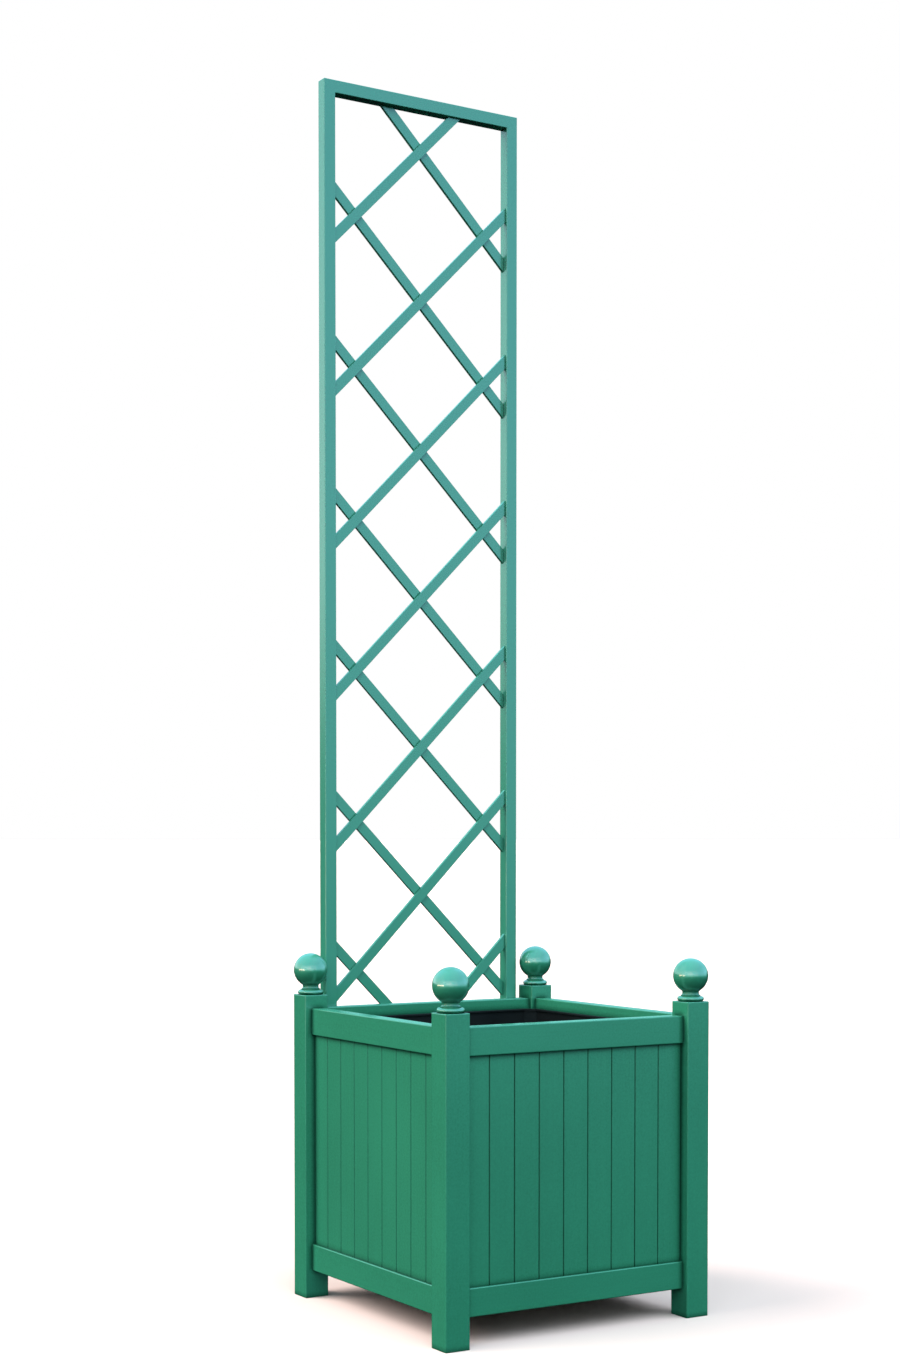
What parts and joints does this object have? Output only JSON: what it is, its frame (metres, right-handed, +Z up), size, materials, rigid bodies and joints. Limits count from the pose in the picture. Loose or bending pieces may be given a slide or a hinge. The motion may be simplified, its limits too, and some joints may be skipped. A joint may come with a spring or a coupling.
{
  "type": "planter with trellis",
  "caption": "Square painted planter with ball-topped corner posts, grooved board sides, a lift-out liner and a tall diamond lattice trellis behind it.",
  "frame": {"origin": "ground level, at the middle of the whole object's width and depth", "axes": "+Z up along the trellis, -Y towards the front of the planter, trellis at the +Y side, +X to the right seen from the front"},
  "size_m": [0.596, 0.599, 2.388],
  "materials": {
    "paint_planter": "green satin paint on timber",
    "paint_boards": "green satin paint on matched boards",
    "paint_trellis": "green satin paint on slim timber",
    "liner_plastic": "matt black",
    "bare_timber": "sawn, oiled",
    "steel": "zinc plated"
  },
  "bodies": {
    "planter": {"post_front_left": "paint_planter", "post_front_right": "paint_planter", "post_back_right": "paint_planter", "post_back_left": "paint_planter", "finial_front_left": "paint_planter", "finial_front_right": "paint_planter", "finial_back_right": "paint_planter", "finial_back_left": "paint_planter", "finial_studs": "steel", "top_rail_front": "paint_planter", "top_rail_right": "paint_planter", "top_rail_back": "paint_planter", "top_rail_left": "paint_planter", "bottom_rail_front": "paint_planter", "bottom_rail_right": "paint_planter", "bottom_rail_back": "paint_planter", "bottom_rail_left": "paint_planter", "boards_front": "paint_boards", "boards_right": "paint_boards", "boards_back": "paint_boards", "boards_left": "paint_boards", "bearer_right": "bare_timber", "bearer_left": "bare_timber", "bearer_screws": "steel", "base_slat_1": "bare_timber", "base_slat_2": "bare_timber", "base_slat_3": "bare_timber", "base_slat_4": "bare_timber", "base_slat_5": "bare_timber", "slat_screws": "steel", "trellis_stile_left": "paint_trellis", "trellis_stile_right": "paint_trellis", "trellis_top_rail": "paint_trellis", "trellis_low_rail": "paint_trellis", "lath_rising_1": "paint_trellis", "lath_rising_2": "paint_trellis", "lath_rising_3": "paint_trellis", "lath_rising_4": "paint_trellis", "lath_rising_5": "paint_trellis", "lath_rising_6": "paint_trellis", "lath_rising_7": "paint_trellis", "lath_rising_8": "paint_trellis", "lath_falling_1": "paint_trellis", "lath_falling_2": "paint_trellis", "lath_falling_3": "paint_trellis", "lath_falling_4": "paint_trellis", "lath_falling_5": "paint_trellis", "lath_falling_6": "paint_trellis", "lath_falling_7": "paint_trellis", "lath_falling_8": "paint_trellis", "trellis_screws": "steel"},
    "liner": {"liner": "liner_plastic"}
  },
  "joints": [
    {"name": "liner_lift", "type": "slide", "parent": "planter", "child": "liner", "axis": [0, 0, 1], "range_m": [0, 0.6]}
  ]
}
